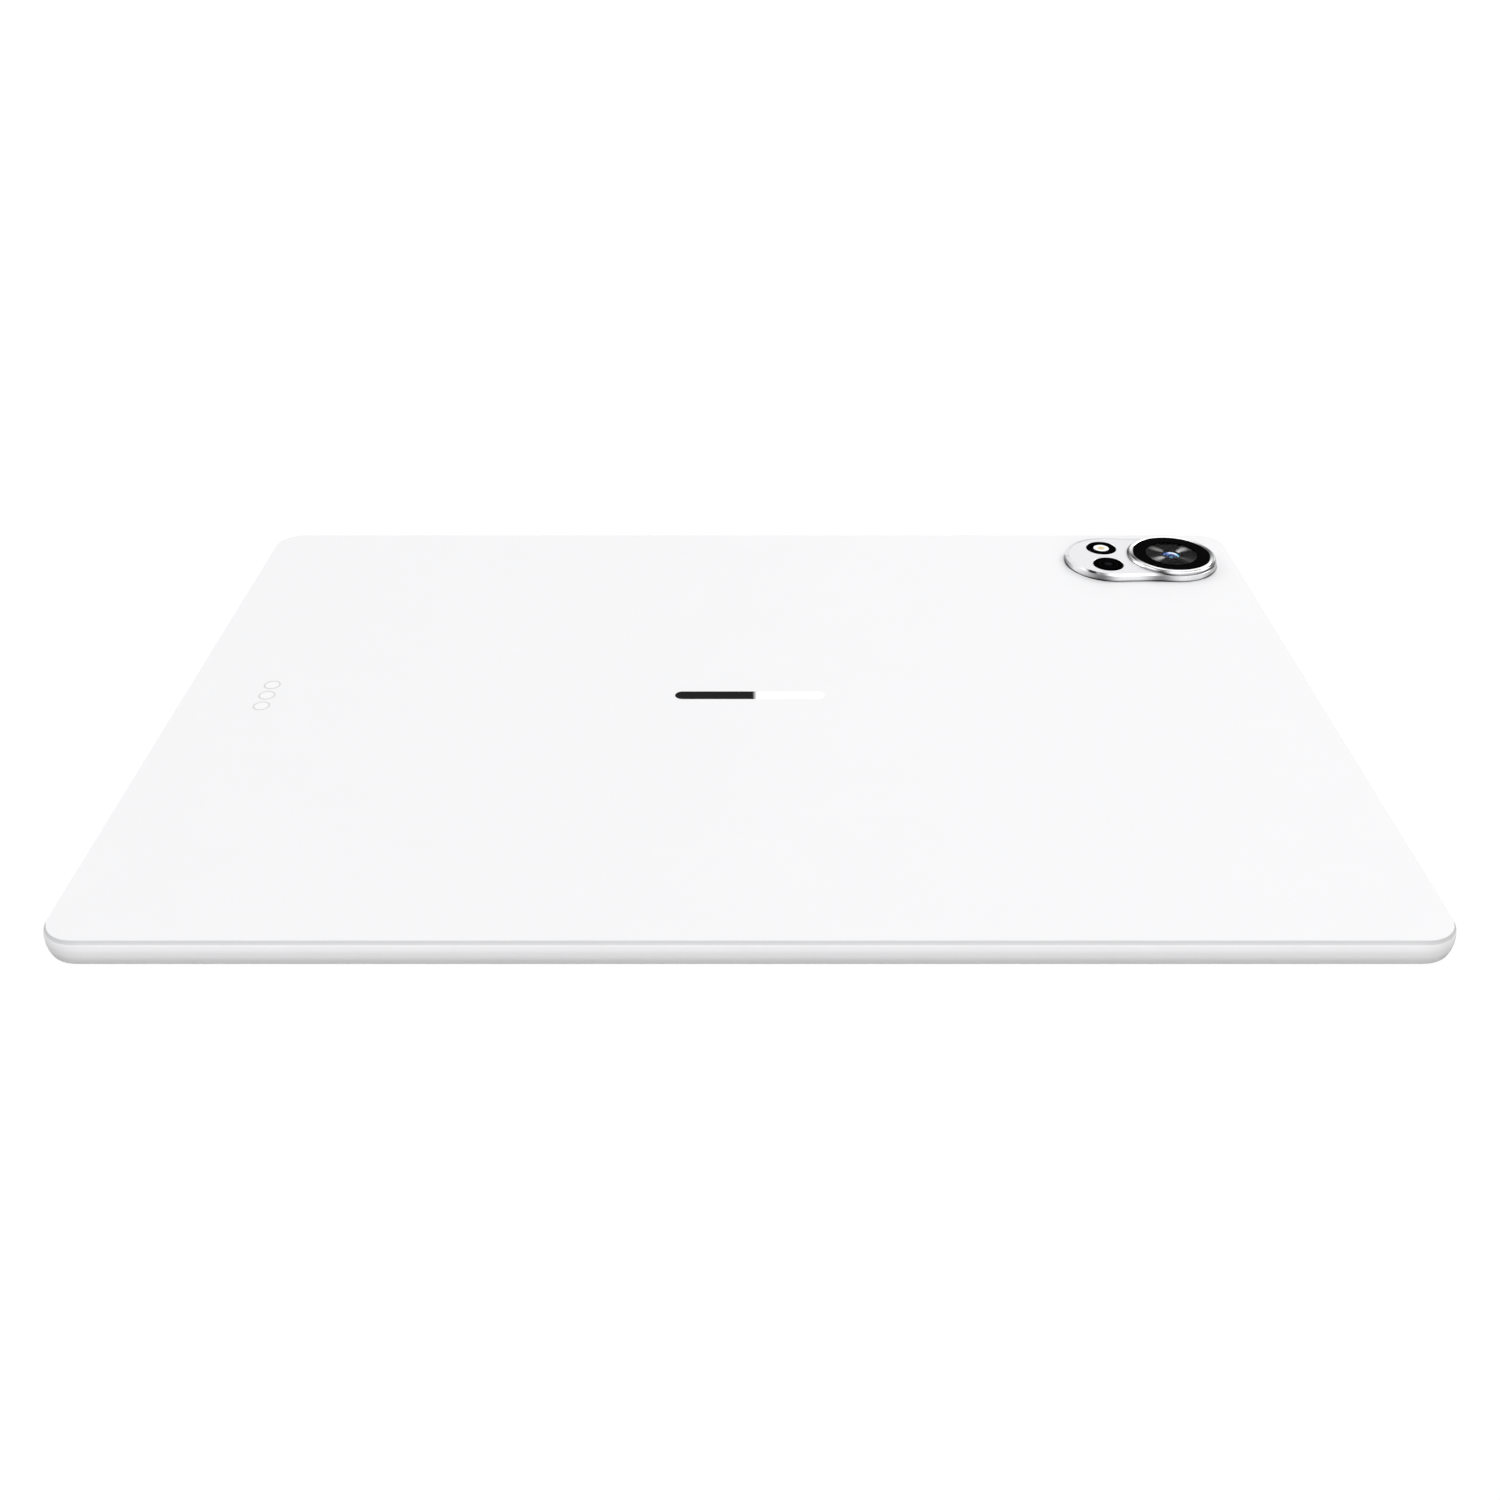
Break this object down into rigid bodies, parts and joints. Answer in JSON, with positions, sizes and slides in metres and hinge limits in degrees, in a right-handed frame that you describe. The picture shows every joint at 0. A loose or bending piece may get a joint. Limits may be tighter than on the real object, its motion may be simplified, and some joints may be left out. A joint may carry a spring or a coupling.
{
  "type": "tablet computer",
  "caption": "Thin tablet computer with a pale metal back, rounded corners, a raised twin-lobed rear camera island, side keys, speaker holes and a charging port.",
  "frame": {"origin": "centre of the front glass's outer face, which is the plane the tablet lies on", "axes": "+X along the long edge, +Y along the short edge towards the rear cameras' long edge, +Z out of the back; the cameras sit in the corner at +X, +Y"},
  "size_m": [0.2704, 0.1833, 0.0086],
  "materials": {
    "housing_coat": "satin",
    "key_coat": "satin",
    "inlay_mirror": "polished",
    "front_glass": "gloss",
    "display_glass": "gloss",
    "backlight_white": "matte",
    "graphite": "satin",
    "adhesive": "matte",
    "flex_film": "satin",
    "island_chrome": "polished",
    "island_satin": "satin",
    "lens_window": "gloss",
    "lens_black": "gloss",
    "trim_black": "gloss",
    "spun_metal": "satin",
    "barrel_black": "matte",
    "coated_lens": "gloss",
    "camera_can": "satin",
    "flash_diffuser": "satin",
    "flash_phosphor": "matte",
    "bracket_steel": "satin",
    "shield_tin": "satin",
    "board_laminate": "satin",
    "chip_resin": "matte",
    "switch_body": "matte",
    "dome_steel": "satin",
    "usb_steel": "satin",
    "usb_tongue": "satin",
    "cell_pouch": "satin",
    "speaker_plastic": "matte",
    "speaker_mesh": "matte",
    "aerial_plastic": "matte",
    "cable_sheath": "satin",
    "magnet_nickel": "satin",
    "coil_copper": "satin",
    "contact_pad": "satin",
    "contact_ring": "satin",
    "screw_steel": "satin"
  },
  "bodies": {
    "tablet_body": {"antenna_cables": "cable_sheath", "back_inlay": "inlay_mirror", "backlight_unit": "backlight_white", "battery_adhesive": "adhesive", "battery_board": "board_laminate", "battery_cell_left": "cell_pouch", "battery_cell_right": "cell_pouch", "battery_flex": "flex_film", "board_chips": "chip_resin", "board_connectors": "chip_resin", "board_screws": "screw_steel", "bracket_screws": "screw_steel", "button_brackets": "bracket_steel", "camera_island_frame": "island_chrome", "camera_island_plate": "island_satin", "cover_glass": "front_glass", "cover_magnets": "magnet_nickel", "display_adhesive": "adhesive", "display_flex": "flex_film", "flash_led": "flash_phosphor", "flash_lens": "flash_diffuser", "flash_trim": "trim_black", "front_camera_module": "camera_can", "graphite_sheet": "graphite", "lcd_panel": "display_glass", "light_sensor": "chip_resin", "main_board": "board_laminate", "main_camera_bezel": "island_chrome", "main_camera_board": "board_laminate", "main_camera_housing": "camera_can", "main_lens_glass": "lens_window", "main_lens_spun_disc": "spun_metal", "main_lens_trim_ring": "trim_black", "main_sub_flex": "flex_film", "microphones": "chip_resin", "power_shield": "shield_tin", "power_switch": "switch_body", "power_switch_dome": "dome_steel", "processor_shield": "shield_tin", "radio_shield": "shield_tin", "rear_camera_bracket": "bracket_steel", "rear_housing": "housing_coat", "second_camera_module": "camera_can", "second_lens_glass": "lens_black", "smart_connector_board": "board_laminate", "smart_connector_contacts": "contact_pad", "smart_connector_insulators": "contact_ring", "speaker_enclosures": "speaker_plastic", "speaker_meshes": "speaker_mesh", "stylus_charging_coil": "coil_copper", "usb_board": "board_laminate", "usb_c_shell": "usb_steel", "usb_c_tongue": "usb_tongue", "volume_switch_domes": "dome_steel", "volume_switches": "switch_body", "wifi_antennas": "aerial_plastic"},
    "power_key": {"power_button": "key_coat"},
    "volume_key": {"volume_rocker": "key_coat"},
    "focus_barrel": {"main_lens_barrel": "barrel_black", "main_lens_element": "coated_lens"}
  },
  "joints": [
    {"name": "power_press", "type": "slide", "parent": "tablet_body", "child": "power_key", "axis": [-1, 0, 0], "range_m": [0, 0.00025], "stiffness_N_per_m": 800, "springref_m": -0.0005, "deforming": ["power_switch_dome"]},
    {"name": "volume_rock", "type": "hinge", "parent": "tablet_body", "child": "volume_key", "pos_m": [0.1, 0.08875, 0.00325], "axis": [0, 0, 1], "range_deg": [-1.2, 1.2], "stiffness_Nm_per_rad": 0.1, "deforming": ["volume_switch_domes"]},
    {"name": "main_focus", "type": "slide", "parent": "tablet_body", "child": "focus_barrel", "axis": [0, 0, 1], "range_m": [-0.00012, 0.00012], "stiffness_N_per_m": 200}
  ]
}
